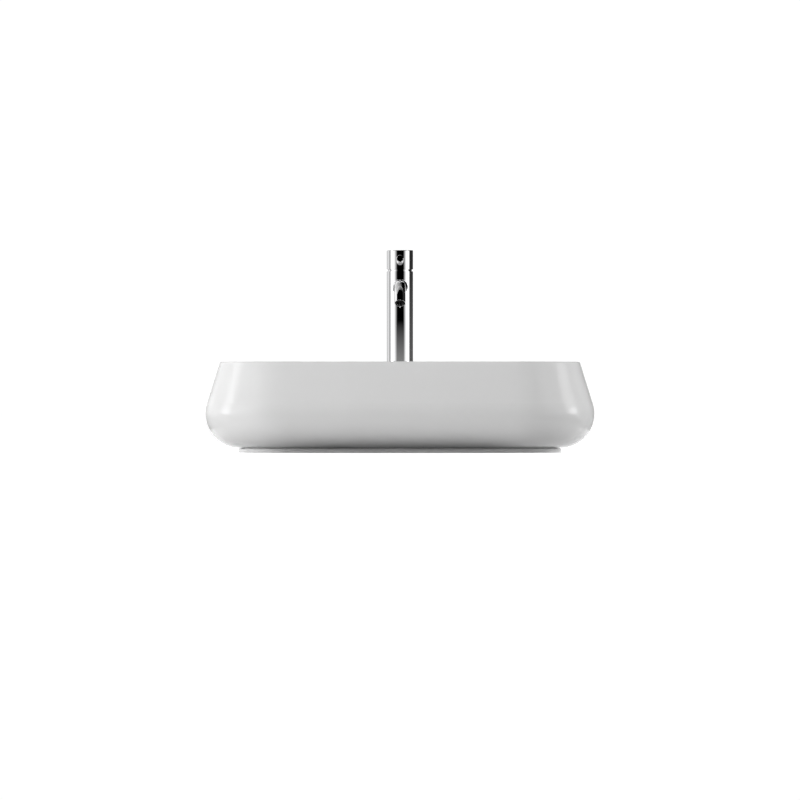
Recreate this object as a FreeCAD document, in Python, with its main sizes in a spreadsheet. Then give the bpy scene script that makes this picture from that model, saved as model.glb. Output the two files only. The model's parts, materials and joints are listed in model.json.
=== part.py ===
import FreeCAD, Part
import math
import os
import re
import Sketcher
from FreeCAD import Rotation, Vector

# Countertop washbasin: a ceramic shell with a tap deck at the back, a single-lever mixer and a push waste.
# Millimetres. The origin is on the counter under the middle of the basin, the front faces -Y, up is +Z.

DIMENSIONS = (
    # Ceramic shell
    ("basin_width", 600, "overall width at the belly"),
    ("basin_depth", 430, "overall depth at the belly"),
    ("basin_height", 140, "counter to rim"),
    ("wall_lean", 17.3, "degrees that the outer wall leans inwards"),
    ("belly_radius", 52.6, "round of the wall into the underside"),
    ("belly_corner", 122, "plan radius of the corners at the belly"),
    ("foot_height", 7.8, "counter to underside of the belly"),
    ("foot_spread", 1.5, "foot ring set out from the end of the belly round"),
    ("foot_width", 16, "width of the foot ring"),
    ("foot_gap", 1.8, "height of the shadow gap between foot ring and belly"),
    ("foot_gap_depth", 8, ""),
    ("rim_thick", 12, "rim width at the front and sides"),
    ("rim_outer_round", 3, "outer edge of the rim"),
    ("rim_inner_round", 4.5, "inner edge of the rim"),
    ("skirt_thick", 11, "outer wall"),
    ("bowl_thick", 11, "bowl wall"),
    ("bowl_draft", 6, "degrees that the bowl wall leans inwards"),
    ("bowl_level", 40, "counter to lowest point of the bowl, at the drain"),
    ("bowl_round", 56, "round of the bowl wall into its floor"),
    ("floor_thick", 11, "bowl floor"),
    ("fall_depth", 2.5, "fall of the floor towards the drain"),
    ("fall_margin", 4, "flat floor left round the fall"),
    ("ledge_depth", 112.5, "rear rim edge to bowl"),
    ("ledge_thick", 16, "tap deck"),
    ("solid_rim", 46, "depth of the rim zone that is not hollow"),
    ("drain_hole", 23, "radius"),
    ("drain_seat", 34.5, "radius of the recess for the waste flange"),
    ("drain_seat_depth", 3, ""),
    ("drain_boss", 38, "radius of the flat boss under the bowl"),
    ("drain_boss_drop", 2.5, "boss height below the bowl floor"),
    ("tap_hole", 17.5, "radius"),
    ("tap_setback", 60, "rear rim edge to tap axis"),
    # Push waste
    ("waste_thread", 20.95, "outer radius of the threaded tail"),
    ("waste_bore", 17.5, "radius"),
    ("waste_flange", 32, "radius"),
    ("waste_flange_thick", 2, ""),
    ("waste_throat", 3, "width of the bevel at the throat"),
    ("waste_tail_gap", 2, "counter to end of the tail"),
    ("waste_relief", 0.8, "depth of the thread relief under the nut"),
    ("waste_relief_width", 1.5, ""),
    ("flange_seal", 31, "radius"),
    ("flange_seal_thick", 2, ""),
    ("lower_seal", 33, "radius"),
    ("lower_seal_thick", 4, ""),
    ("slip_washer", 31, "radius"),
    ("slip_washer_thick", 1.5, ""),
    ("backnut_flats", 54, "across flats"),
    ("backnut_thick", 8, ""),
    ("spider_level", 19, "counter to spider"),
    ("spider_height", 5, ""),
    ("spider_arm", 3, "width"),
    ("spider_hub", 7.5, "radius"),
    ("sleeve_shank", 4, "radius of the thread in the hub"),
    ("sleeve_barrel", 6.5, "radius"),
    ("sleeve_barrel_height", 17, ""),
    ("sleeve_bore", 4.6, "radius of the spring chamber"),
    ("sleeve_floor", 2, "thickness under the spring"),
    ("stem_tail", 1.9, "radius"),
    ("stem_collar", 4.4, "radius"),
    ("stem_collar_height", 2, ""),
    ("stem_rod", 3, "radius"),
    ("stem_grip", 4, "thread length in the plug"),
    ("spring_wire", 0.4, "radius"),
    ("spring_radius", 3.3, "mean radius of the coil"),
    ("spring_pitch", 1.35, ""),
    ("spring_turns", 4, ""),
    ("plug_radius", 31.5, ""),
    ("plug_edge", 2.2, "height of the straight edge"),
    ("plug_bevel", 0.8, ""),
    ("plug_height", 7, "underside to crown"),
    ("plug_seal_inner", 22, "radius"),
    ("plug_seal_outer", 27, "radius"),
    ("plug_seal_thick", 2, ""),
    ("plug_rest_gap", 0.2, "seal to flange when shut"),
    # Mixer column and its fixing
    ("column_radius", 21, ""),
    ("column_height", 143.8, "deck to top of the column"),
    ("column_foot_bevel", 0.6, ""),
    ("base_seal_thick", 1.5, ""),
    ("base_seal_inset", 1, ""),
    ("base_seal_inner", 17.8, "radius"),
    ("spigot_radius", 16.5, "part of the column inside the tap hole"),
    ("spigot_depth", 10, "below the deck"),
    ("inlet_radius", 4.5, "threaded inlet"),
    ("inlet_depth", 14, ""),
    ("inlet_spread", 6.5, "inlet to the middle plane"),
    ("inlet_front", 4, "inlets in front of the tap axis"),
    ("passage_radius", 3, "water way from inlet to cartridge"),
    ("stud_radius", 4, ""),
    ("stud_back", 10, "stud behind the tap axis"),
    ("stud_grip", 22, "stud length in the column"),
    ("stud_reach", 62, "deck to lower end of the stud"),
    ("clamp_radius", 26, "horseshoe pad and plate"),
    ("clamp_slot", 14.5, "half width of the horseshoe gap"),
    ("clamp_slot_end", 3, "closed end of the gap behind the tap axis"),
    ("clamp_pad_thick", 3, ""),
    ("clamp_plate_thick", 2.5, ""),
    ("stud_nut_flats", 13, "across flats"),
    ("stud_nut_height", 12, ""),
    # Spout
    ("spout_height", 119.1, "deck to spout axis"),
    ("spout_radius", 8.7, "outer radius of the tube"),
    ("spout_wall", 1.6, ""),
    ("spout_reach", 125, "tap axis to middle of the outlet"),
    ("spout_drop", 27, "spout axis to middle of the outlet"),
    ("spout_bend", 45, "radius of the bend"),
    ("spout_tilt", 54, "degrees that the outlet points below level"),
    ("collar_radius", 12.4, ""),
    ("collar_straight", 0.8, "straight band in front of the column"),
    ("collar_length", 9, "in front of the column"),
    ("collar_lip", 0.7, "thickness at the front"),
    ("spout_seal_wire", 1, "radius of the ring's section"),
    ("aerator_depth", 10.4, "length inside the outlet"),
    ("aerator_recess", 2, "housing set back from the outlet"),
    ("aerator_wall", 1.1, ""),
    ("aerator_seal_thick", 1.2, ""),
    ("insert_recess", 2.6, "insert set back from its housing"),
    ("insert_hole", 0.55, "radius"),
    ("insert_ring", 2.1, "spacing of the hole rings"),
    # Cartridge
    ("cartridge_radius", 14, ""),
    ("cartridge_depth", 43, "column top to cartridge seat"),
    ("cartridge_shoulder", 10, "column top to shoulder of the housing"),
    ("cartridge_neck", 11.4, "radius"),
    ("cartridge_neck_height", 5, ""),
    ("cartridge_wall", 2, ""),
    ("chamber_radius", 17, "outlet chamber round the cartridge"),
    ("chamber_above", 10, "outlet chamber above the spout axis"),
    ("chamber_below", 14.9, "outlet chamber below the spout axis"),
    ("channel_height", 2, "outlet channel through the cartridge base"),
    ("port_seal_radius", 4.8, ""),
    ("port_seal_thick", 1.2, ""),
    ("cartridge_base_thick", 4.8, ""),
    ("disc_thick", 3, "each ceramic disc"),
    ("disc_port", 1.8, "radius of the ports through the fixed disc"),
    ("disc_port_spread", 5, "port to the middle plane"),
    ("disc_port_front", 2.6, "ports in front of the tap axis"),
    ("moving_disc_radius", 9.3, ""),
    ("disc_offset", 2.4, "moving disc behind the axis when shut"),
    ("mix_pocket_depth", 1.2, "pocket under the moving disc"),
    ("carrier_height", 5.4, ""),
    ("carrier_floor", 0.8, "under the ball"),
    ("rotor_neck", 9.4, "radius"),
    ("rotor_slot", 8, "half length of the slot for the stem"),
    ("rotor_above", 8, "pivot to top of the rotor"),
    ("rotor_below", 11, "pivot to bottom of the rotor"),
    ("pivot_drop", 14, "column top to pivot"),
    ("pin_radius", 1.5, ""),
    ("pin_length", 21, ""),
    ("stem_square", 7, ""),
    ("stem_heel", 4.5, "square part below the pivot"),
    ("stem_neck", 1.8, "radius"),
    ("stem_ball", 3, "radius"),
    ("stem_arm", 12.8, "pivot to ball"),
    ("stem_rise", 39, "pivot to top of the stem"),
    ("nut_radius", 16.4, "cartridge nut"),
    ("nut_height", 8, ""),
    # Handle
    ("handle_gap", 3.2, "groove between column and handle"),
    ("groove_depth", 1.9, "column to the neck in the groove"),
    ("groove_neck", 3, "height of the neck, which ends just inside the handle's hollow"),
    ("handle_height", 30.2, ""),
    ("handle_edge", 0.8, ""),
    ("dome_opening", 14.5, "radius"),
    ("dome_spigot", 1.8, "depth of the dome's spigot in the column"),
    ("hollow_gap", 0.7, "column's top edge to the hollow of the handle, as it tips"),
    ("lever_radius", 5.6, ""),
    ("lever_reach", 66, "tap axis to end of the lever"),
    ("lever_seat", 18.8, "tap axis to lever shoulder"),
    ("lever_thread", 3, "radius"),
    ("lever_thread_start", 9.6, "tap axis to inner end of the thread"),
    ("lever_edge", 0.5, ""),
    ("lever_rise", 5, "degrees above level"),
    ("lever_level", 10.2, "underside of the handle to lever axis, on the tap axis"),
    ("screw_radius", 2.5, "grub screw"),
    ("screw_length", 9, ""),
    ("screw_socket", 1.5, "corner radius of the hex socket"),
    ("screw_socket_depth", 3, ""),
    ("screw_level", 16, "underside of the handle to grub screw"),
    # Clearances
    ("thread_gap", 0.05, "radial, screwed pieces"),
    ("slip_gap", 0.1, "radial, pieces that slide or turn in a bore"),
    ("seal_gap", 0.15, "radial, seals round a thread"),
    ("pin_gap", 0.03, "radial, stem on its pin"),
    ("side_gap", 0.3, "moving piece to its neighbour"),
    ("disc_gap", 0.05, "between the ceramic discs"),
)
ALIASES = {alias for alias, _, _ in DIMENSIONS}

# Levels and places that follow from the driving dimensions.
TANGENT_REACH = "((1 + sin(wall_lean)) / cos(wall_lean))"
RIM_INSET = f"(belly_radius - belly_radius * {TANGENT_REACH} + (basin_height - foot_height) * tan(wall_lean))"
RIM_HALF_WIDTH = f"(basin_width / 2 - {RIM_INSET})"
RIM_HALF_DEPTH = f"(basin_depth / 2 - {RIM_INSET})"
RIM_CORNER = f"(belly_corner - {RIM_INSET})"
WASTE_Y = "((rim_thick - ledge_depth) / 2)"
TAP_Y = f"({RIM_HALF_DEPTH} - tap_setback)"
BOWL_HALF_DEPTH = f"({RIM_HALF_DEPTH} - (rim_thick + ledge_depth) / 2)"
FLOOR = "(bowl_level + fall_depth)"
FALL_RADIUS = (f"({BOWL_HALF_DEPTH} - (basin_height - {FLOOR}) * tan(bowl_draft)"
               " - bowl_round * (1 - sin(bowl_draft)) / cos(bowl_draft) - fall_margin)")
FLANGE_SEAT = "(bowl_level - drain_seat_depth)"
FLANGE_BASE = f"({FLANGE_SEAT} + flange_seal_thick)"
FLANGE_TOP = f"({FLANGE_BASE} + waste_flange_thick)"
BOSS_LEVEL = f"({FLOOR} - floor_thick - drain_boss_drop)"
SLIP_LEVEL = f"({BOSS_LEVEL} - lower_seal_thick - slip_washer_thick)"
BACKNUT_LEVEL = f"({SLIP_LEVEL} - backnut_thick)"
HUB_TOP = "(spider_level + spider_height)"
SPRING_SEAT = f"({HUB_TOP} + sleeve_floor)"
STEM_COLLAR_LEVEL = f"({SPRING_SEAT} + spring_turns * spring_pitch + 2 * spring_wire + slip_gap)"
PLUG_LEVEL = f"({FLANGE_TOP} + plug_rest_gap + plug_seal_thick)"
BODY_BASE = "(basin_height + base_seal_thick)"
SPIGOT_BASE = "(basin_height - spigot_depth)"
BODY_TOP = "(basin_height + column_height)"
PIVOT = f"({BODY_TOP} - pivot_drop)"
SEAT = f"({BODY_TOP} - cartridge_depth)"
SHOULDER = f"({BODY_TOP} - cartridge_shoulder)"
SPOUT_Z = "(basin_height + spout_height)"
CARTRIDGE_BASE = f"({SEAT} + port_seal_thick)"
DISC_SEAT = f"({CARTRIDGE_BASE} + cartridge_base_thick)"
MOVING_DISC = f"({DISC_SEAT} + disc_thick + disc_gap)"
CARRIER = f"({MOVING_DISC} + disc_thick)"
LEDGE_BASE = "(basin_height - ledge_thick)"
PAD_LEVEL = f"({LEDGE_BASE} - clamp_pad_thick)"
PLATE_LEVEL = f"({PAD_LEVEL} - clamp_plate_thick)"
NECK_RADIUS = "(column_radius - groove_depth)"
DOME_RADIUS = f"sqrt({NECK_RADIUS} ^ 2 + (pivot_drop + groove_neck) ^ 2)"
HOLLOW_RADIUS = "(sqrt(column_radius ^ 2 + pivot_drop ^ 2) + hollow_gap)"
HANDLE_BASE = f"({BODY_TOP} + handle_gap)"
HANDLE_TOP = f"({HANDLE_BASE} + handle_height)"
LEVER_Z = f"({HANDLE_BASE} + lever_level)"
SCREW_Z = f"({HANDLE_BASE} + screw_level)"
SPOUT_BORE = "(spout_radius - spout_wall)"
AERATOR_Y = f"({TAP_Y} - spout_reach + aerator_depth * cos(spout_tilt))"
AERATOR_Z = f"({SPOUT_Z} - spout_drop + aerator_depth * sin(spout_tilt))"

doc = FreeCAD.newDocument("washbasin")
sheet = doc.addObject("Spreadsheet::Sheet", "dims")
for row, (alias, size, note) in enumerate(DIMENSIONS, start=1):
    sheet.set(f"A{row}", alias)
    sheet.set(f"B{row}", str(size))
    sheet.set(f"C{row}", note)
    sheet.setAlias(f"B{row}", alias)
doc.recompute()
nodes = []


def formula(text):
    """Turn a formula written with the sheet's aliases into an expression."""
    def qualified(match):
        word = match.group()
        return f"dims.{word}" if word in ALIASES else word

    return re.sub(r"[A-Za-z_]\w*", qualified, text)


def value(text):
    """Give a formula's present value."""
    return float(sheet.evalExpression(formula(text)))


def bind(item, **sizes):
    """Bind properties to formulas; a double underscore stands for the dot of a property's path."""
    for path, text in sizes.items():
        item.setExpression(path.replace("__", "."), formula(text))
    return item


def place(item, x="0", y="0", z="0", turn="0"):
    """Place an object, turned about the X axis."""
    item.Placement.Rotation = Rotation(Vector(1, 0, 0), value(turn))
    bind(item, Placement__Base__x=x, Placement__Base__y=y, Placement__Base__z=z)
    if turn != "0":
        bind(item, Placement__Rotation__Angle=turn)
    return item


def node(item, label):
    """List an object as a finished piece."""
    item.Label = label
    nodes.append(item)
    return item


def new_body(name):
    return doc.addObject("PartDesign::Body", name)


def new_sketch(body, plane, level="0"):
    """Start a sketch on one of the body's own planes, lifted along that plane's normal."""
    sketch = body.newObject("Sketcher::SketchObject", f"{body.Name}_sketch")
    support = next(item for item in body.Origin.OriginFeatures if item.Role == f"{plane}_Plane")
    sketch.AttachmentSupport = [(support, "")]
    sketch.MapMode = "FlatFace"
    bind(sketch, AttachmentOffset__Base__z=level)
    return sketch


def pin_point(sketch, geometry, point, x, y):
    """Fix a sketch point at formula coordinates that are not negative."""
    for kind, axis, text in (("DistanceX", -2, x), ("DistanceY", -1, y)):
        size = value(text)
        if abs(size) < 1e-9:
            sketch.addConstraint(Sketcher.Constraint("PointOnObject", geometry, point, axis))
            continue
        index = sketch.addConstraint(Sketcher.Constraint(kind, -1, 1, geometry, point, size))
        sketch.setExpression(f"Constraints[{index}]", formula(text))


def draw_circle(sketch, radius, x="0", y="0"):
    """Draw a circle; x and y may be negative."""
    centre = Vector(value(x), value(y), 0)
    geometry = sketch.addGeometry(Part.Circle(centre, Vector(0, 0, 1), value(radius)))
    index = sketch.addConstraint(Sketcher.Constraint("Radius", geometry, value(radius)))
    sketch.setExpression(f"Constraints[{index}]", formula(radius))
    for kind, axis, text in (("DistanceX", -2, x), ("DistanceY", -1, y)):
        if text == "0":
            sketch.addConstraint(Sketcher.Constraint("PointOnObject", geometry, 3, axis))
        else:
            index = sketch.addConstraint(Sketcher.Constraint(kind, -1, 1, geometry, 3, value(text)))
            sketch.setExpression(f"Constraints[{index}]", formula(text))
    return geometry


def draw_rounded_rectangle(sketch, half_width, half_depth, corner):
    """Draw a rounded rectangle about the sketch's origin."""
    wide, deep, radius = value(half_width), value(half_depth), value(corner)
    edges = []
    for quarter, (x, y) in enumerate(((1, -1), (1, 1), (-1, 1), (-1, -1))):
        centre = Vector(x * (wide - radius), y * (deep - radius), 0)
        start = (quarter - 1) * math.pi / 2
        circle = Part.Circle(centre, Vector(0, 0, 1), radius)
        edges.append(sketch.addGeometry(Part.ArcOfCircle(circle, start, start + math.pi / 2)))
    sides = []
    for quarter in range(4):
        ends = sketch.Geometry[edges[quarter]].EndPoint, sketch.Geometry[edges[(quarter + 1) % 4]].StartPoint
        sides.append(sketch.addGeometry(Part.LineSegment(*ends)))
    for quarter in range(4):
        sketch.addConstraint(Sketcher.Constraint("Tangent", edges[quarter], 2, sides[quarter], 1))
        sketch.addConstraint(Sketcher.Constraint("Tangent", sides[quarter], 2, edges[(quarter + 1) % 4], 1))
        sketch.addConstraint(Sketcher.Constraint(("Vertical", "Horizontal")[quarter % 2], sides[quarter]))
    for quarter in (1, 2, 3):
        sketch.addConstraint(Sketcher.Constraint("Equal", edges[0], edges[quarter]))
    index = sketch.addConstraint(Sketcher.Constraint("Radius", edges[0], radius))
    sketch.setExpression(f"Constraints[{index}]", formula(corner))
    for kind, side, text, size in (("DistanceX", 0, half_width, wide), ("DistanceY", 1, half_depth, deep)):
        index = sketch.addConstraint(Sketcher.Constraint(kind, -1, 1, sides[side], 1, size))
        sketch.setExpression(f"Constraints[{index}]", formula(text))
        index = sketch.addConstraint(Sketcher.Constraint(kind, sides[side + 2], 1, -1, 1, size))
        sketch.setExpression(f"Constraints[{index}]", formula(text))


def draw_profile(sketch, points):
    """Draw a closed profile of formula points; a third entry "arc" rounds the next edge about the Y axis."""
    spots = [Vector(value(point[0]), value(point[1]), 0) for point in points]
    count = len(points)
    edges = []
    ends = []
    for index, point in enumerate(points):
        start, stop = spots[index], spots[(index + 1) % count]
        if len(point) == 2:
            edges.append(sketch.addGeometry(Part.LineSegment(start, stop)))
            ends.append((1, 2))
            continue
        middle = (stop.x ** 2 + stop.y ** 2 - start.x ** 2 - start.y ** 2) / (2 * (stop.y - start.y))
        centre = Vector(0, middle, 0)
        angles = [math.atan2(spot.y - middle, spot.x) for spot in (start, stop)]
        circle = Part.Circle(centre, Vector(0, 0, 1), (start - centre).Length)
        edges.append(sketch.addGeometry(Part.ArcOfCircle(circle, min(angles), max(angles))))
        ends.append((1, 2) if angles[0] < angles[1] else (2, 1))
        sketch.addConstraint(Sketcher.Constraint("PointOnObject", edges[-1], 3, -2))
    for index, point in enumerate(points):
        after = (index + 1) % count
        sketch.addConstraint(Sketcher.Constraint("Coincident", edges[index], ends[index][1],
                                                 edges[after], ends[after][0]))
        pin_point(sketch, edges[index], ends[index][0], point[0], point[1])


def extrude(body, kind, sketch, length=None, backwards=False, taper=None):
    """Pad or pocket a sketch; with no length it runs through everything, both ways."""
    feature = body.newObject(f"PartDesign::{kind}", f"{body.Name}_{kind.lower()}")
    feature.Profile = sketch
    feature.Reversed = backwards
    if length is None:
        feature.Type = "ThroughAll"
        feature.Midplane = True
    else:
        bind(feature, Length=length)
    if taper is not None:
        bind(feature, TaperAngle=taper)
    doc.recompute()
    return feature


def revolve(body, kind, points):
    """Turn a profile of (radius, height) points about the body's own Z axis."""
    sketch = new_sketch(body, "XZ")
    draw_profile(sketch, points)
    feature = body.newObject(f"PartDesign::{kind}", f"{body.Name}_{kind.lower()}")
    feature.Profile = sketch
    feature.ReferenceAxis = (sketch, ["V_Axis"])
    feature.Angle = 360
    doc.recompute()
    return feature


def round_edges(body, feature, edges, radius):
    """Fillet the given edges of a feature."""
    names = [f"Edge{index}" for index, edge in enumerate(feature.Shape.Edges, start=1)
             if any(edge.isSame(other) for other in edges)]
    fillet = body.newObject("PartDesign::Fillet", f"{body.Name}_fillet")
    fillet.Base = (feature, names)
    bind(fillet, Radius=radius)
    doc.recompute()
    return fillet


def edges_at(shape, level):
    """Find the edges that lie level at a height."""
    return [edge for edge in shape.Edges
            if max(abs(edge.BoundBox.ZMin - level), abs(edge.BoundBox.ZMax - level)) < 1e-3]


def deck_face(shape):
    """Find the flat top of the rim and tap deck."""
    top = value("basin_height")
    return next(face for face in shape.Faces if edges_at(face, top) and face.BoundBox.ZMin > top - 1e-3)


def combine(body, kind, tools):
    """Join other bodies to a body, or cut them from it."""
    feature = body.newObject("PartDesign::Boolean", f"{body.Name}_boolean")
    feature.setObjects(tools)
    feature.Type = kind
    doc.recompute()
    return feature


def turned(label, points, x="0", y="0", z="0", turn="0"):
    """A turned piece."""
    body = new_body(label)
    revolve(body, "Revolution", points)
    return node(place(body, x, y, z, turn), label)


def ring(label, outer, inner, low, high, x="0", y="0", z="0", turn="0"):
    """A flat ring between two heights on its own axis."""
    return turned(label, ((inner, low), (outer, low), (outer, high), (inner, high)), x, y, z, turn)


def cylinder(name, radius, height, x="0", y="0", z="0", turn="0"):
    return place(bind(doc.addObject("Part::Cylinder", name), Radius=radius, Height=height), x, y, z, turn)


def hexagon(name, flats, height, x="0", y="0", z="0", turn="0"):
    prism = bind(doc.addObject("Part::Prism", name), Circumradius=f"{flats} / 2 / cos(30)", Height=height)
    prism.Polygon = 6
    return place(prism, x, y, z, turn)


def block(name, length, width, height, x, y, z):
    return place(bind(doc.addObject("Part::Box", name), Length=length, Width=width, Height=height), x, y, z)


def fused(name, pieces):
    whole = doc.addObject("Part::MultiFuse", name)
    whole.Shapes = pieces
    return whole


def cut(name, base, *tools):
    result = doc.addObject("Part::Cut", name)
    result.Base = base
    result.Tool = tools[0] if len(tools) == 1 else fused(f"{name}_tools", list(tools))
    return result


def skirt_outline(inset):
    """Outline of the leaning wall where it meets the underside, for a wall set in by a thickness."""
    change = f"((belly_radius - {inset}) * {TANGENT_REACH} - belly_radius)"
    return f"basin_width / 2 + {change}", f"basin_depth / 2 + {change}", f"belly_corner + {change}"


def skirt(body, inset, low, high):
    """The leaning wall, rounded into its underside."""
    sketch = new_sketch(body, "XY", low)
    draw_rounded_rectangle(sketch, *skirt_outline(inset))
    wall = extrude(body, "Pad", sketch, f"{high} - {low}", taper="-wall_lean")
    return round_edges(body, wall, edges_at(wall.Shape, value(low)), f"belly_radius - {inset}")


def foot_outline(spread):
    """Outline of the foot ring, set out from the end of the belly round."""
    outline = "basin_width / 2", "basin_depth / 2", "belly_corner"
    return [f"{size} - belly_radius + {spread}" for size in outline]


def bowl_block(name, grow, floor):
    """The bowl's outline, grown by a wall thickness, down to a rounded floor."""
    body = new_body(name)
    half_width = f"{RIM_HALF_WIDTH} - rim_thick + {grow}"
    half_depth = f"{BOWL_HALF_DEPTH} + {grow}"
    corner = f"{RIM_CORNER} - rim_thick + {grow}"
    sketch = new_sketch(body, "XY", "basin_height")
    draw_rounded_rectangle(sketch, half_width, half_depth, corner)
    walls = extrude(body, "Pad", sketch, f"basin_height - {floor}", backwards=True, taper="-bowl_draft")
    round_edges(body, walls, edges_at(walls.Shape, value(floor)), f"bowl_round + {grow}")
    return place(body, y=WASTE_Y)


def bowl_space():
    """The space inside the bowl; round the waste its floor falls towards the drain."""
    body = bowl_block("bowl_space", "0", FLOOR)
    outer = f"({FALL_RADIUS} + fall_depth)"
    outer_level = f"bowl_level + fall_depth * ({outer} - drain_seat) / ({FALL_RADIUS} - drain_seat)"
    revolve(body, "Revolution", (
        ("0", "bowl_level"),
        ("drain_seat", "bowl_level"),
        (outer, outer_level),
        ("0", outer_level)))
    return body


def shell_hollow():
    """The space between outer wall and bowl, open through the foot ring and up under the tap deck."""
    body = new_body("hollow")
    floor = "(foot_height + skirt_thick)"
    skirt(body, "skirt_thick", floor, LEDGE_BASE)
    front_zone = new_sketch(body, "XY", "basin_height - solid_rim")
    bowl_back = f"{RIM_HALF_DEPTH} - ledge_depth - bowl_thick"
    bind(front_zone, AttachmentOffset__Base__y=f"{bowl_back} - basin_depth / 2")
    draw_rounded_rectangle(front_zone, "basin_width / 2", "basin_depth / 2", "bowl_thick")
    extrude(body, "Pocket", front_zone, "solid_rim", backwards=True)
    opening = new_sketch(body, "XY")
    draw_rounded_rectangle(opening, *foot_outline("(foot_spread - foot_width)"))
    extrude(body, "Pad", opening, f"{floor} + skirt_thick / 2")
    combine(body, "Cut", [bowl_block("bowl_wall", "bowl_thick", f"({FLOOR} - floor_thick)")])
    return body


def build_basin():
    body = new_body("basin")
    skirt(body, "0", "foot_height", "basin_height")
    neck = new_sketch(body, "XY")
    draw_rounded_rectangle(neck, *foot_outline("(foot_spread - foot_gap_depth)"))
    extrude(body, "Pad", neck, "foot_height + skirt_thick / 2")
    foot = new_sketch(body, "XY")
    draw_rounded_rectangle(foot, *foot_outline("foot_spread"))
    extrude(body, "Pad", foot, "foot_height - foot_gap")
    shaped = combine(body, "Cut", [bowl_space(), shell_hollow()])
    shaped = round_edges(body, shaped, deck_face(shaped.Shape).OuterWire.Edges, "rim_outer_round")
    deck = deck_face(shaped.Shape)
    inner = [edge for wire in deck.Wires if not wire.isSame(deck.OuterWire) for edge in wire.Edges]
    round_edges(body, shaped, inner, "rim_inner_round")
    boss = new_sketch(body, "XY", BOSS_LEVEL)
    draw_circle(boss, "drain_boss", y=WASTE_Y)
    extrude(body, "Pad", boss, "floor_thick / 2 + drain_boss_drop")
    drain = new_sketch(body, "XY")
    draw_circle(drain, "drain_hole", y=WASTE_Y)
    extrude(body, "Pocket", drain, "basin_height", backwards=True)
    seat = new_sketch(body, "XY", FLANGE_SEAT)
    draw_circle(seat, "drain_seat", y=WASTE_Y)
    extrude(body, "Pocket", seat, "2 * drain_seat_depth", backwards=True)
    hole = new_sketch(body, "XY", LEDGE_BASE)
    draw_circle(hole, "tap_hole", y=TAP_Y)
    extrude(body, "Pocket", hole, "2 * ledge_thick", backwards=True)
    node(body, "basin")


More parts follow.
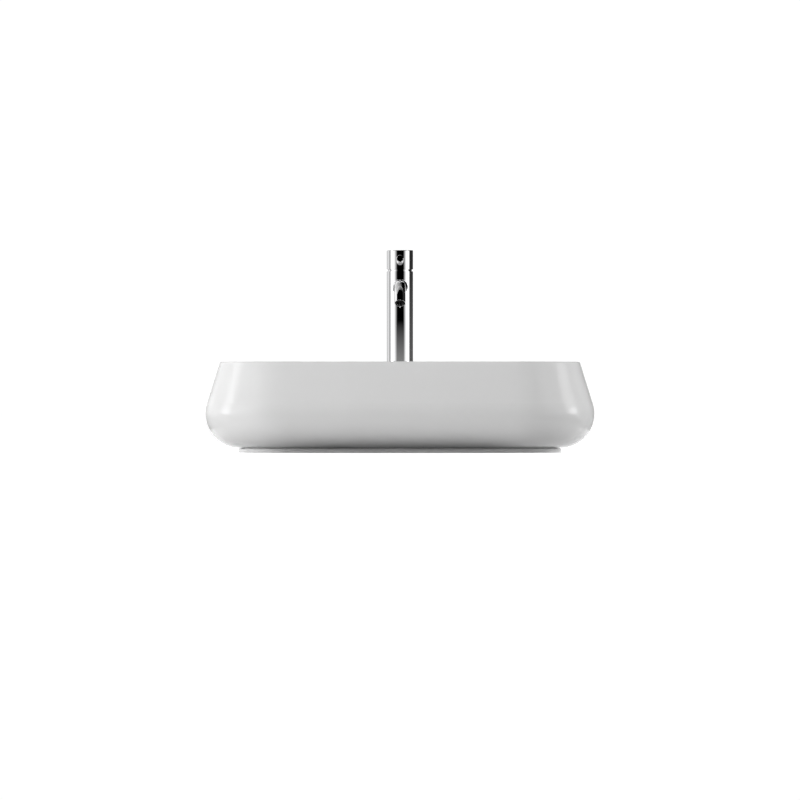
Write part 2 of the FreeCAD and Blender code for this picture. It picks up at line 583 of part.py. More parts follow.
def build_waste():
    throat = "(waste_bore + waste_throat)"
    relief_top = f"({BACKNUT_LEVEL} - waste_relief)"
    relief_base = f"({relief_top} - waste_relief_width)"
    relief = "(waste_thread - waste_relief)"
    body = turned("waste_body", (
        ("waste_bore", "waste_tail_gap"),
        ("waste_thread", "waste_tail_gap"),
        ("waste_thread", relief_base),
        (relief, relief_base),
        (relief, relief_top),
        ("waste_thread", relief_top),
        ("waste_thread", FLANGE_BASE),
        ("waste_flange", FLANGE_BASE),
        ("waste_flange", FLANGE_TOP),
        (throat, FLANGE_TOP),
        ("waste_bore", f"{FLANGE_TOP} - waste_throat")), y=WASTE_Y)
    arm = new_sketch(body, "XY", "spider_level")
    draw_profile(arm, (
        ("0", "0"),
        ("waste_bore + waste_throat / 2", "0"),
        ("waste_bore + waste_throat / 2", "spider_arm"),
        ("0", "spider_arm")))
    bind(arm, AttachmentOffset__Base__y="-spider_arm / 2")
    arm_pad = extrude(body, "Pad", arm, "spider_height")
    arms = body.newObject("PartDesign::PolarPattern", "waste_body_arms")
    arms.Originals = [arm_pad]
    arms.Axis = (next(item for item in body.Origin.OriginFeatures if item.Role == "Z_Axis"), [""])
    arms.Angle = 360
    arms.Occurrences = 3
    body.Tip = arms
    doc.recompute()
    hub = new_sketch(body, "XY", "spider_level")
    draw_circle(hub, "spider_hub")
    extrude(body, "Pad", hub, "spider_height")
    hole = new_sketch(body, "XY", "spider_level")
    draw_circle(hole, "sleeve_shank + thread_gap")
    extrude(body, "Pocket", hole, "spider_height", backwards=True)

    inner = "(waste_thread + seal_gap)"
    washer_top = f"{SLIP_LEVEL} + slip_washer_thick"
    at_nut = {"y": WASTE_Y, "z": BACKNUT_LEVEL}
    ring("waste_flange_seal", "flange_seal", inner, FLANGE_SEAT, FLANGE_BASE, y=WASTE_Y)
    ring("waste_lower_seal", "lower_seal", inner, f"{BOSS_LEVEL} - lower_seal_thick", BOSS_LEVEL, y=WASTE_Y)
    ring("waste_slip_washer", "slip_washer", inner, SLIP_LEVEL, washer_top, y=WASTE_Y)
    node(cut("waste_backnut",
             hexagon("backnut_blank", "backnut_flats", "backnut_thick", **at_nut),
             cylinder("backnut_thread", "waste_thread + thread_gap", "backnut_thick", **at_nut)),
         "waste_backnut")

    sleeve_end = "(spider_level - sleeve_floor)"
    sleeve_top = f"({HUB_TOP} + sleeve_barrel_height)"
    turned("click_sleeve", (
        ("stem_tail + slip_gap", sleeve_end),
        ("sleeve_shank", sleeve_end),
        ("sleeve_shank", HUB_TOP),
        ("sleeve_barrel", HUB_TOP),
        ("sleeve_barrel", sleeve_top),
        ("sleeve_bore", sleeve_top),
        ("sleeve_bore", SPRING_SEAT),
        ("stem_tail + slip_gap", SPRING_SEAT)), y=WASTE_Y)
    collar_top = f"({STEM_COLLAR_LEVEL} + stem_collar_height)"
    turned("plug_stem", (
        ("0", f"{sleeve_end} - sleeve_floor"),
        ("stem_tail", f"{sleeve_end} - sleeve_floor"),
        ("stem_tail", STEM_COLLAR_LEVEL),
        ("stem_collar", STEM_COLLAR_LEVEL),
        ("stem_collar", collar_top),
        ("stem_rod", collar_top),
        ("stem_rod", f"{PLUG_LEVEL} + stem_grip"),
        ("0", f"{PLUG_LEVEL} + stem_grip")), y=WASTE_Y)
    socket = "(stem_rod + thread_gap)"
    turned("plug_cap", (
        (socket, PLUG_LEVEL),
        ("plug_radius - plug_bevel", PLUG_LEVEL),
        ("plug_radius", f"{PLUG_LEVEL} + plug_bevel"),
        ("plug_radius", f"{PLUG_LEVEL} + plug_edge", "arc"),
        ("0", f"{PLUG_LEVEL} + plug_height"),
        ("0", f"{PLUG_LEVEL} + stem_grip + side_gap"),
        (socket, f"{PLUG_LEVEL} + stem_grip + side_gap")), y=WASTE_Y)
    seal_base = f"{FLANGE_TOP} + plug_rest_gap"
    ring("plug_seal", "plug_seal_outer", "plug_seal_inner", seal_base, PLUG_LEVEL, y=WASTE_Y)


def build_spring():
    """A round wire along a smooth coil."""
    radius, pitch, turns = value("spring_radius"), value("spring_pitch"), value("spring_turns")
    steps = int(round(turns * 8))
    points = []
    for step in range(steps + 1):
        angle = 2 * math.pi * step / 8
        points.append(Vector(radius * math.cos(angle), radius * math.sin(angle), pitch * step / 8))
    path = Part.BSplineCurve()
    path.interpolate(points)
    spine = Part.Wire([path.toShape()])
    start = path.tangent(path.FirstParameter)[0]
    section = Part.Wire([Part.Circle(points[0], start, value("spring_wire")).toShape()])
    spring = doc.addObject("Part::Feature", "click_spring")
    spring.Shape = spine.makePipeShell([section], True, True)
    place(spring, y=WASTE_Y, z=f"{SPRING_SEAT} + spring_wire + slip_gap / 2")
    node(spring, "click_spring")


def build_column():
    bore = "(cartridge_radius + slip_gap)"
    nut_bore = "(nut_radius + slip_gap)"
    body = turned("tap_body", (
        ("0", SPIGOT_BASE),
        ("spigot_radius", SPIGOT_BASE),
        ("spigot_radius", BODY_BASE),
        ("column_radius - column_foot_bevel", BODY_BASE),
        ("column_radius", f"{BODY_BASE} + column_foot_bevel"),
        ("column_radius", BODY_TOP),
        (nut_bore, BODY_TOP),
        (nut_bore, SHOULDER),
        (bore, SHOULDER),
        (bore, f"{SPOUT_Z} + chamber_above"),
        ("chamber_radius", f"{SPOUT_Z} + chamber_above"),
        ("chamber_radius", f"{SPOUT_Z} - chamber_below"),
        (bore, f"{SPOUT_Z} - chamber_below"),
        (bore, SEAT),
        ("0", SEAT)), y=TAP_Y)
    spout_hole = new_sketch(body, "XZ")
    draw_circle(spout_hole, "spout_radius + thread_gap", y=SPOUT_Z)
    extrude(body, "Pocket", spout_hole, "2 * column_radius", backwards=True)
    for side in ("-", ""):
        inlet = new_sketch(body, "XY", SPIGOT_BASE)
        draw_circle(inlet, "inlet_radius", f"{side}inlet_spread", "-inlet_front")
        extrude(body, "Pocket", inlet, "inlet_depth", backwards=True)
        passage = new_sketch(body, "XY", SPIGOT_BASE)
        draw_circle(passage, "passage_radius", f"{side}inlet_spread", "-inlet_front")
        extrude(body, "Pocket", passage, f"{SEAT} - {SPIGOT_BASE}", backwards=True)
    stud_hole = new_sketch(body, "XY", SPIGOT_BASE)
    draw_circle(stud_hole, "stud_radius + thread_gap", y="stud_back")
    extrude(body, "Pocket", stud_hole, "stud_grip + side_gap", backwards=True)

    seal_outer = "column_radius - base_seal_inset"
    ring("tap_base_seal", seal_outer, "base_seal_inner", "basin_height", BODY_BASE, y=TAP_Y)
    stud_y = f"{TAP_Y} + stud_back"
    stud_base = "(basin_height - stud_reach)"
    stud_length = f"{SPIGOT_BASE} + stud_grip - {stud_base}"
    node(cylinder("fixing_stud", "stud_radius", stud_length, y=stud_y, z=stud_base), "fixing_stud")
    for label, level, thick in (("fixing_pad", PAD_LEVEL, "clamp_pad_thick"),
                                ("fixing_plate", PLATE_LEVEL, "clamp_plate_thick")):
        node(cut(label,
                 cylinder(f"{label}_blank", "clamp_radius", thick, y=TAP_Y, z=level),
                 block(f"{label}_gap", "2 * clamp_slot", "2 * clamp_radius", thick, "-clamp_slot",
                       f"{TAP_Y} + clamp_slot_end - 2 * clamp_radius", level),
                 cylinder(f"{label}_hole", "stud_radius + side_gap", thick, y=stud_y, z=level)), label)
    at_nut = {"y": stud_y, "z": f"{PLATE_LEVEL} - stud_nut_height"}
    node(cut("fixing_nut",
             hexagon("fixing_nut_blank", "stud_nut_flats", "stud_nut_height", **at_nut),
             cylinder("fixing_nut_thread", "stud_radius + thread_gap", "stud_nut_height", **at_nut)),
         "fixing_nut")


def build_spout():
    start = "(chamber_radius + side_gap)"
    body = new_body("spout_tube")
    path = new_sketch(body, "YZ")
    bend, tilt = value("spout_bend"), math.radians(value("spout_tilt"))
    reach, drop = value(f"spout_reach - {start}"), value("spout_drop")
    tail = (drop - bend * (1 - math.cos(tilt))) / math.sin(tilt)
    run = reach - bend * math.sin(tilt) - tail * math.cos(tilt)
    level_run = path.addGeometry(Part.LineSegment(Vector(0, 0, 0), Vector(run, 0, 0)))
    curve = Part.ArcOfCircle(Part.Circle(Vector(run, bend, 0), Vector(0, 0, 1), bend),
                             -math.pi / 2, tilt - math.pi / 2)
    arc = path.addGeometry(curve)
    end_run = path.addGeometry(Part.LineSegment(curve.EndPoint, Vector(reach, drop, 0)))
    path.addConstraint(Sketcher.Constraint("Coincident", level_run, 1, -1, 1))
    path.addConstraint(Sketcher.Constraint("Horizontal", level_run))
    path.addConstraint(Sketcher.Constraint("Tangent", level_run, 2, arc, 1))
    path.addConstraint(Sketcher.Constraint("Tangent", arc, 2, end_run, 1))
    index = path.addConstraint(Sketcher.Constraint("Radius", arc, bend))
    path.setExpression(f"Constraints[{index}]", formula("spout_bend"))
    index = path.addConstraint(Sketcher.Constraint("Angle", -1, 1, end_run, 1, tilt))
    path.setExpression(f"Constraints[{index}]", formula("spout_tilt * 1deg"))
    pin_point(path, end_run, 2, f"spout_reach - {start}", "spout_drop")
    section = new_sketch(body, "XZ")
    draw_circle(section, "spout_radius")
    draw_circle(section, SPOUT_BORE)
    tube = body.newObject("PartDesign::AdditivePipe", "spout_tube_pipe")
    tube.Profile = section
    tube.Spine = (path, [])
    doc.recompute()
    node(place(body, y=f"{TAP_Y} - {start}", z=SPOUT_Z, turn="180"), "spout_tube")

    seal_room = "(spout_radius + 2 * spout_seal_wire + seal_gap)"
    seal_front = "(column_radius + thread_gap + 2 * spout_seal_wire + side_gap)"
    front = "(column_radius + collar_length)"
    collar = turned("spout_collar", (
        (seal_room, "column_radius / 2"),
        ("collar_radius", "column_radius / 2"),
        ("collar_radius", "column_radius + collar_straight", "arc"),
        ("spout_radius + collar_lip", front),
        ("spout_radius + thread_gap", front),
        ("spout_radius + thread_gap", seal_front),
        (seal_room, seal_front)), y=TAP_Y, z=SPOUT_Z, turn="90")
    cope = new_sketch(collar, "XZ")
    draw_circle(cope, "column_radius + thread_gap")
    extrude(collar, "Pocket", cope)
    seal = bind(doc.addObject("Part::Torus", "spout_seal"),
                Radius1="spout_radius + spout_seal_wire + seal_gap / 2", Radius2="spout_seal_wire")
    seal_y = f"{TAP_Y} - column_radius - thread_gap - side_gap / 2 - spout_seal_wire"
    node(place(seal, y=seal_y, z=SPOUT_Z, turn="90"), "spout_seal")

    at_outlet = {"y": AERATOR_Y, "z": AERATOR_Z, "turn": "90 + spout_tilt"}
    shell = f"({SPOUT_BORE} - thread_gap)"
    inside = f"({shell} - aerator_wall)"
    housing_end = "(aerator_depth - aerator_recess)"
    ring("aerator_seal", shell, f"{inside} - aerator_wall", "0", "aerator_seal_thick", **at_outlet)
    ring("aerator_housing", shell, inside, "aerator_seal_thick", housing_end, **at_outlet)
    insert = new_body("aerator_insert")
    blank = new_sketch(insert, "XY", "aerator_seal_thick")
    draw_circle(blank, f"{inside} - thread_gap")
    extrude(insert, "Pad", blank, f"{housing_end} - insert_recess - aerator_seal_thick")
    middle = new_sketch(insert, "XY")
    draw_circle(middle, "insert_hole")
    extrude(insert, "Pocket", middle)
    for turn, holes in ((1, 6), (2, 12)):
        jet = new_sketch(insert, "XY")
        draw_circle(jet, "insert_hole", x=f"insert_ring * {turn}")
        first_hole = extrude(insert, "Pocket", jet)
        jets = insert.newObject("PartDesign::PolarPattern", f"aerator_insert_ring_{holes}")
        jets.Originals = [first_hole]
        jets.Axis = (next(item for item in insert.Origin.OriginFeatures if item.Role == "Z_Axis"), [""])
        jets.Angle = 360
        jets.Occurrences = holes
        insert.Tip = jets
        doc.recompute()
    node(place(insert, **at_outlet), "aerator_insert")


def ported(label, radius, low, height, hole, spread, front, *more):
    """A disc across the cartridge with two water ports through it."""
    ports = [cylinder(f"{label}_port", hole, height, x=f"{side}{spread}", y=f"{TAP_Y} - {front}", z=low)
             for side in ("-", "")]
    return node(cut(label, cylinder(f"{label}_blank", radius, height, y=TAP_Y, z=low), *ports, *more), label)


def build_cartridge():
    seals = []
    for side in ("-", ""):
        at_port = {"x": f"{side}inlet_spread", "y": f"{TAP_Y} - inlet_front", "z": SEAT}
        blank = cylinder("port_seal_blank", "port_seal_radius", "port_seal_thick", **at_port)
        hole = cylinder("port_seal_hole", "passage_radius + seal_gap", "port_seal_thick", **at_port)
        seals.append(cut("port_seal", blank, hole))
    pair = doc.addObject("Part::Compound", "cartridge_seals")
    pair.Links = seals
    node(pair, "cartridge_seals")
    inside = "(cartridge_radius - cartridge_wall)"
    channel = f"({DISC_SEAT} - channel_height)"
    ported("cartridge_base", "cartridge_radius", CARTRIDGE_BASE, "cartridge_base_thick",
           "passage_radius", "inlet_spread", "inlet_front",
           block("outlet_channel", "2 * disc_port", "cartridge_radius + disc_port", "channel_height",
                 "-disc_port", f"{TAP_Y} - disc_port", channel))
    ported("fixed_disc", f"{inside} - thread_gap", DISC_SEAT, "disc_thick",
           "disc_port", "disc_port_spread", "disc_port_front",
           cylinder("disc_outlet", "disc_port", "disc_thick", y=TAP_Y, z=DISC_SEAT))
    disc_y = f"{TAP_Y} + disc_offset"
    pocket_start = f"{TAP_Y} - disc_port_front + disc_port + side_gap"
    node(cut("moving_disc",
             cylinder("moving_disc_blank", "moving_disc_radius", "disc_thick", y=disc_y, z=MOVING_DISC),
             block("mix_pocket", "2 * (disc_port_spread + disc_port / 2)", "2 * (disc_port + side_gap)",
                   "mix_pocket_depth", "-disc_port_spread - disc_port / 2", pocket_start, MOVING_DISC)),
         "moving_disc")
    node(cut("disc_carrier",
             cylinder("carrier_blank", "moving_disc_radius", "carrier_height", y=disc_y, z=CARRIER),
             cylinder("carrier_socket", "stem_ball + side_gap", "carrier_height", y=TAP_Y,
                      z=f"{CARRIER} + carrier_floor")), "disc_carrier")

    neck_top = f"({SHOULDER} + cartridge_neck_height)"
    roof = f"({SHOULDER} - cartridge_wall / 2)"
    neck_bore = "(rotor_neck + slip_gap)"
    turned("cartridge_housing", (
        (inside, DISC_SEAT),
        ("cartridge_radius", DISC_SEAT),
        ("cartridge_radius", SHOULDER),
        ("cartridge_neck", SHOULDER),
        ("cartridge_neck", neck_top),
        (neck_bore, neck_top),
        (neck_bore, roof),
        (inside, roof)), y=TAP_Y)

    rotor_roof = f"({roof} - side_gap)"
    rotor_top = f"({PIVOT} + rotor_above)"
    rotor_base = f"({PIVOT} - rotor_below)"
    turned_rotor = new_body("rotor_blank")
    revolve(turned_rotor, "Revolution", (
        ("0", rotor_base),
        (f"{inside} - slip_gap", rotor_base),
        (f"{inside} - slip_gap", rotor_roof),
        ("rotor_neck", rotor_roof),
        ("rotor_neck", rotor_top),
        ("0", rotor_top)))
    place(turned_rotor, y=TAP_Y)
    slot = "(stem_square / 2 + slip_gap)"
    at_pin = {"x": "-pin_length / 2", "y": TAP_Y, "z": PIVOT}
    bar = cylinder("rotor_pin", "pin_radius", "pin_length", **at_pin)
    bar_hole = cylinder("rotor_pin_hole", "pin_radius + pin_gap", "pin_length + 2 * slip_gap",
                        x="-pin_length / 2 - slip_gap", y=TAP_Y, z=PIVOT)
    stem_hole = cylinder("stem_pin_hole", "pin_radius + pin_gap", "pin_length", **at_pin)
    for piece in (bar, bar_hole, stem_hole):
        piece.Placement.Rotation = Rotation(Vector(0, 1, 0), 90)
    node(cut("mixer_rotor", turned_rotor,
             block("rotor_slot_block", f"2 * {slot}", "2 * rotor_slot", "rotor_above + rotor_below",
                   f"-{slot}", f"{TAP_Y} - rotor_slot", rotor_base), bar_hole), "mixer_rotor")
    node(bar, "rotor_pin")

    square = block("stem_bar", "stem_square", "stem_square", "stem_heel + stem_rise",
                   "-stem_square / 2", f"{TAP_Y} - stem_square / 2", f"{PIVOT} - stem_heel")
    neck = cylinder("stem_rod_below", "stem_neck", "stem_arm", y=TAP_Y, z=f"{PIVOT} - stem_arm")
    ball = place(bind(doc.addObject("Part::Sphere", "stem_knob"), Radius="stem_ball"), y=TAP_Y,
                 z=f"{PIVOT} - stem_arm")
    node(cut("lever_stem", fused("stem_whole", [square, neck, ball]), stem_hole), "lever_stem")
    nut_top = f"{SHOULDER} + nut_height"
    ring("cartridge_nut", "nut_radius", "cartridge_neck + slip_gap", SHOULDER, nut_top, y=TAP_Y)
    turned("dome_cover", (
        ("dome_opening", f"{BODY_TOP} - dome_spigot"),
        ("nut_radius", f"{BODY_TOP} - dome_spigot"),
        ("nut_radius", BODY_TOP),
        (NECK_RADIUS, BODY_TOP),
        (NECK_RADIUS, f"{BODY_TOP} + groove_neck", "arc"),
        ("dome_opening", f"{PIVOT} + sqrt({DOME_RADIUS} ^ 2 - dome_opening ^ 2)")), y=TAP_Y)


def build_handle():
    blank = new_body("handle_blank")
    revolve(blank, "Revolution", (
        ("0", f"{PIVOT} + {HOLLOW_RADIUS}", "arc"),
        (f"sqrt({HOLLOW_RADIUS} ^ 2 - (pivot_drop + handle_gap) ^ 2)", HANDLE_BASE),
        ("column_radius", HANDLE_BASE),
        ("column_radius", f"{HANDLE_TOP} - handle_edge"),
        ("column_radius - handle_edge", HANDLE_TOP),
        ("0", HANDLE_TOP)))
    place(blank, y=TAP_Y)
    half = "(stem_square / 2 + thread_gap)"
    tilt = {"turn": "90 - lever_rise"}

    def along(name, radius, start, length):
        """A cylinder on the lever axis, from a distance out of the tap axis."""
        return cylinder(name, radius, length, y=f"{TAP_Y} - {start} * cos(lever_rise)",
                        z=f"{LEVER_Z} + {start} * sin(lever_rise)", **tilt)

    node(cut("handle_cap", blank,
             block("handle_socket", f"2 * {half}", f"2 * {half}", "stem_rise + side_gap",
                   f"-{half}", f"{TAP_Y} - {half}", PIVOT),
             along("lever_thread_hole", "lever_thread + thread_gap", "lever_thread_start", "column_radius"),
             along("lever_seat_hole", "lever_radius + thread_gap", "lever_seat", "column_radius"),
             cylinder("screw_hole", "screw_radius + thread_gap", "column_radius", y=TAP_Y, z=SCREW_Z,
                      turn="-90")), "handle_cap")
    turned("handle_lever", (
        ("0", "lever_thread_start"),
        ("lever_thread", "lever_thread_start"),
        ("lever_thread", "lever_seat"),
        ("lever_radius", "lever_seat"),
        ("lever_radius", "lever_reach - lever_edge"),
        ("lever_radius - lever_edge", "lever_reach"),
        ("0", "lever_reach")), y=TAP_Y, z=LEVER_Z, **tilt)
    socket = doc.addObject("Part::Prism", "screw_socket_hole")
    socket.Polygon = 6
    bind(socket, Circumradius="screw_socket", Height="screw_socket_depth")
    screw_y = f"{TAP_Y} + {half}"
    place(socket, y=f"{screw_y} + screw_length - screw_socket_depth", z=SCREW_Z, turn="-90")
    screw = cylinder("screw_blank", "screw_radius", "screw_length", y=screw_y, z=SCREW_Z, turn="-90")
    node(cut("handle_screw", screw, socket), "handle_screw")


build_basin()
build_waste()
build_spring()
build_column()
build_spout()
build_cartridge()
build_handle()
doc.recompute()
for item in doc.Objects:
    if "Invalid" in item.State or "Error" in item.State:
        raise RuntimeError(f"{item.Name} failed: {item.State}")
os.makedirs("parts", exist_ok=True)
for item in nodes:
    if item.Shape.isNull() or not item.Shape.isValid() or not item.Shape.Solids:
        raise RuntimeError(f"{item.Label} has no valid shape")
    item.Shape.exportStep(f"parts/{item.Label}.step")
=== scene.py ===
import json
import math

import bmesh
import bpy
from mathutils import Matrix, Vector

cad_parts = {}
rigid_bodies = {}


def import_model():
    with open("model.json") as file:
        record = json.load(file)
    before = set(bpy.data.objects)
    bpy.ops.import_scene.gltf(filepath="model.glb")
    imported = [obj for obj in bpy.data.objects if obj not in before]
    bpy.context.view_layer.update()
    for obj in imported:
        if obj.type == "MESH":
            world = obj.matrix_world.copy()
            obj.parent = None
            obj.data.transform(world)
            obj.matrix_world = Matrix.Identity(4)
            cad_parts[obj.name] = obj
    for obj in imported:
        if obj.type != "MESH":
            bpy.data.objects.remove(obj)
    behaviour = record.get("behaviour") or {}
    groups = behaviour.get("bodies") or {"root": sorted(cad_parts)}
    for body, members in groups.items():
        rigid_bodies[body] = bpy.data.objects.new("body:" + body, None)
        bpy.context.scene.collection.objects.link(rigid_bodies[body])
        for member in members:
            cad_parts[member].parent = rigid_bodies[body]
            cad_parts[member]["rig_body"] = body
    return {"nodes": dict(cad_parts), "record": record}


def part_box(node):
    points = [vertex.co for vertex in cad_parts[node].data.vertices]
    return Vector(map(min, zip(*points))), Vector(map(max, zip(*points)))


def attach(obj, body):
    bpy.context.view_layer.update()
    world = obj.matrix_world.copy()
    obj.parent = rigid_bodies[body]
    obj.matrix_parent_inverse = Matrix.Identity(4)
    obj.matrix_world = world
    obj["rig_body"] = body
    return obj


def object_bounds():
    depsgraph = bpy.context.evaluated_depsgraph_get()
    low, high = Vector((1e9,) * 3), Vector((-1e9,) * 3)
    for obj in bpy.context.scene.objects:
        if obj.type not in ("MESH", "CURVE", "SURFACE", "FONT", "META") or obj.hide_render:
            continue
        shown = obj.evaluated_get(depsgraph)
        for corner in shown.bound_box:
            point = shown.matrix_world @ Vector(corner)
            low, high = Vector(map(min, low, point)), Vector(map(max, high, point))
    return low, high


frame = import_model()
cad_low, cad_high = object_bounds()
tap_low, tap_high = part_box("tap_body")
tap_y = (tap_low.y + tap_high.y) / 2.0

# Lengths are in metres, angles in degrees and powers in watts. A shade is a strength, where 1 is white.

# The camera stands level with the wall of the basin, far off, as the photograph was taken.
CAMERA_HEIGHT = 0.0811
CAMERA_DISTANCE = 10.385
LENS = 300.0
SENSOR_WIDTH = 36.0
CLIP_END = 100.0

# Noise scales of a finish, as multiples of its grain.
PATCH_SCALE = 0.25
WEAR_SCALE = 1.7
RELIEF_SCALE = 2.0

# The aerator's lip covers the end of the spout, which points forwards and down, but for a thin edge.
SPOUT_TILT = 54.0
MOUTH_DEPTH = 0.0001
RIM_EDGE = 0.0009
RIM_RISE = 0.0003
RIM_STEPS = 64

# The floor carries a painted shadow: its glow is painted dark under the middle of the basin and turns white
# towards its foot's outline, and the light it bounces is painted darker there too.
FLOOR_SIZE = 60.0
FLOOR_COLOUR = (0.15, 0.15, 0.15, 1.0)
FLOOR_ROUGHNESS = 0.9
FLOOR_BOUNCE = 0.6
FOOT_LEVEL = 0.001
PAINTED_SHADOW_CORE = 0.3
PAINTED_SHADOW_EDGE = 1.0

# The studio is white up to the lower of two sines of elevation, and grey from the upper one.
STUDIO_COLOUR = (1.0, 1.0, 1.0, 1.0)
STUDIO_LIGHT = 0.09
WHITE_SINE = 0.12
GREY_SINE = 0.6
STUDIO_WHITE = 1.05
STUDIO_GREY = 0.4

# Each softbox has a name, a compass angle off the camera's side, an elevation and a power.
SOFTBOX_DISTANCE = 2.4
SOFTBOX_SIZE = 1.2
SOFTBOX_AIM = Vector((0.0, 0.0, 0.1))
SOFTBOXES = (
    ("left_ground", -60.0, 4.0, 28.0),
    ("left_rear_ground", -120.0, 4.0, 28.0),
    ("right_rear_ground", 120.0, 4.0, 21.0),
    ("left_low", -47.0, 16.0, 7.0),
    ("right_low", 90.0, 12.0, 19.0),
    ("rear_high", -140.0, 35.0, 9.0),
    ("front_high", 0.0, 30.0, 10.5),
    ("right_high", 60.0, 35.0, 4.0),
    ("above", 0.0, 85.0, 13.0),
)

# Cards that the chrome and the glaze mirror.
BLACK = 0.0
LYING = 0.0
UPRIGHT = 90.0
TAP_CARD_DISTANCE = 1.0
ROOF_HEIGHT = 1.5
FLOOR_CARD_GREY = 0.3
FLOOR_CARD_DISTANCE = 0.65
REAR_FLOOR_CARD_DISTANCE = 0.75
LOWER_FLOOR_CARD = 0.002
UPPER_FLOOR_CARD = 0.003

# Each bright panel has a name, a place, a width, a height and a shade, and fades to white at its sides.
PANEL_FADE_START = 0.3
PANEL_FADE_END = 0.5
PANELS = (
    ("right_panel", (0.8, -0.182, 0.294), 0.217, 0.52, 1.9),
    ("left_panel", (-0.8, -0.117, 0.294), 0.217, 0.52, 2.4),
    ("right_glint", (0.78, -0.156, 0.121), 0.174, 0.131, 4.5),
    ("left_glint", (-0.78, -0.147, 0.121), 0.174, 0.131, 4.0),
)


def add_camera():
    data = bpy.data.cameras.new("camera")
    data.lens = LENS
    data.sensor_width = SENSOR_WIDTH
    data.clip_end = CLIP_END
    camera = bpy.data.objects.new("camera", data)
    camera.location = (0.0, -CAMERA_DISTANCE, CAMERA_HEIGHT)
    camera.rotation_euler = (math.radians(90.0), 0.0, 0.0)
    bpy.context.scene.collection.objects.link(camera)
    bpy.context.scene.camera = camera


def new_material(name):
    material = bpy.data.materials.new(name)
    material.use_nodes = True
    shader = material.node_tree.nodes["Principled BSDF"]
    return material, material.node_tree, shader


def noise(tree, scale, detail=3.0, stretch=(1.0, 1.0, 1.0)):
    """Noise on the piece's own coordinates."""
    place = tree.nodes.new("ShaderNodeTexCoord")
    mapping = tree.nodes.new("ShaderNodeMapping")
    mapping.inputs["Scale"].default_value = stretch
    texture = tree.nodes.new("ShaderNodeTexNoise")
    texture.inputs["Scale"].default_value = scale
    texture.inputs["Detail"].default_value = detail
    tree.links.new(place.outputs["Object"], mapping.inputs["Vector"])
    tree.links.new(mapping.outputs["Vector"], texture.inputs["Vector"])
    return texture.outputs["Fac"]


def ramp(tree, value, first, last, low, high):
    """A value that goes from low to high while another goes from first to last."""
    ranged = tree.nodes.new("ShaderNodeMapRange")
    ranged.inputs["From Min"].default_value = first
    ranged.inputs["From Max"].default_value = last
    ranged.inputs["To Min"].default_value = low
    ranged.inputs["To Max"].default_value = high
    tree.links.new(value, ranged.inputs["Value"])
    return ranged.outputs["Result"]


def colour_by(tree, shader, factor, colours):
    """Mix two colours by a noise."""
    first, second = colours
    mix = tree.nodes.new("ShaderNodeMix")
    mix.data_type = "RGBA"
    mix.inputs["A"].default_value = (*first, 1.0)
    mix.inputs["B"].default_value = (*second, 1.0)
    tree.links.new(factor, mix.inputs["Factor"])
    tree.links.new(mix.outputs["Result"], shader.inputs["Base Color"])


def roughen_by(tree, shader, factor, rough):
    """Vary the roughness between two values by a noise."""
    tree.links.new(ramp(tree, factor, 0.0, 1.0, *rough), shader.inputs["Roughness"])


def relief_by(tree, shader, height, strength, distance):
    bump = tree.nodes.new("ShaderNodeBump")
    bump.inputs["Strength"].default_value = strength
    bump.inputs["Distance"].default_value = distance
    tree.links.new(height, bump.inputs["Height"])
    tree.links.new(bump.outputs["Normal"], shader.inputs["Normal"])


def glaze_material():
    """A glossy white glaze with faint clouds and a slight waviness."""
    material, tree, shader = new_material("glaze")
    colour_by(tree, shader, noise(tree, scale=6.0, detail=2.0), ((0.80, 0.80, 0.80), (0.83, 0.83, 0.83)))
    roughen_by(tree, shader, noise(tree, scale=40.0, detail=2.0), (0.10, 0.16))
    relief_by(tree, shader, noise(tree, scale=14.0, detail=1.0), strength=0.05, distance=0.002)
    return material


def metal_material(name, colours, rough, grain, stretch=(1.0, 1.0, 1.0)):
    """Chrome, brass or steel, with faint stains and wear."""
    material, tree, shader = new_material(name)
    shader.inputs["Metallic"].default_value = 1.0
    colour_by(tree, shader, noise(tree, scale=grain, stretch=stretch), colours)
    roughen_by(tree, shader, noise(tree, scale=WEAR_SCALE * grain, detail=4.0, stretch=stretch), rough)
    return material


def plain_material(name, colours, rough, grain, depth):
    """Rubber, plastic or bare ceramic, with a fine grain."""
    material, tree, shader = new_material(name)
    colour_by(tree, shader, noise(tree, scale=PATCH_SCALE * grain), colours)
    roughen_by(tree, shader, noise(tree, scale=grain), rough)
    relief_by(tree, shader, noise(tree, scale=RELIEF_SCALE * grain), strength=0.3, distance=depth)
    return material


finishes = {
    "glaze": glaze_material(),
    "chrome": metal_material("chrome", colours=((0.97, 0.97, 0.975), (0.95, 0.95, 0.96)),
                             rough=(0.02, 0.04), grain=60.0),
    "brass": metal_material("brass", colours=((0.74, 0.58, 0.30), (0.66, 0.50, 0.24)),
                            rough=(0.25, 0.38), grain=160.0),
    "steel": metal_material("steel", colours=((0.62, 0.62, 0.64), (0.54, 0.54, 0.56)),
                            rough=(0.25, 0.4), grain=220.0, stretch=(1.0, 1.0, 0.1)),
    "rubber": plain_material("rubber", colours=((0.018, 0.018, 0.018), (0.03, 0.03, 0.03)),
                             rough=(0.55, 0.75), grain=600.0, depth=0.0002),
    "plastic": plain_material("plastic", colours=((0.70, 0.70, 0.68), (0.64, 0.64, 0.62)),
                              rough=(0.35, 0.5), grain=500.0, depth=0.0001),
    "black_plastic": plain_material("black_plastic", colours=((0.012, 0.012, 0.012), (0.02, 0.02, 0.02)),
                                    rough=(0.4, 0.6), grain=500.0, depth=0.0001),
    "disc": plain_material("disc", colours=((0.84, 0.82, 0.78), (0.80, 0.78, 0.74)),
                           rough=(0.15, 0.25), grain=400.0, depth=0.0001),
}
slot_of = {entry["node"]: entry["material_slot"] for entry in frame["record"]["subparts"]}


def dress(node):
    """Give a CAD piece its finish."""
    materials = frame["nodes"][node].data.materials
    materials.clear()
    materials.append(finishes[slot_of[node]])


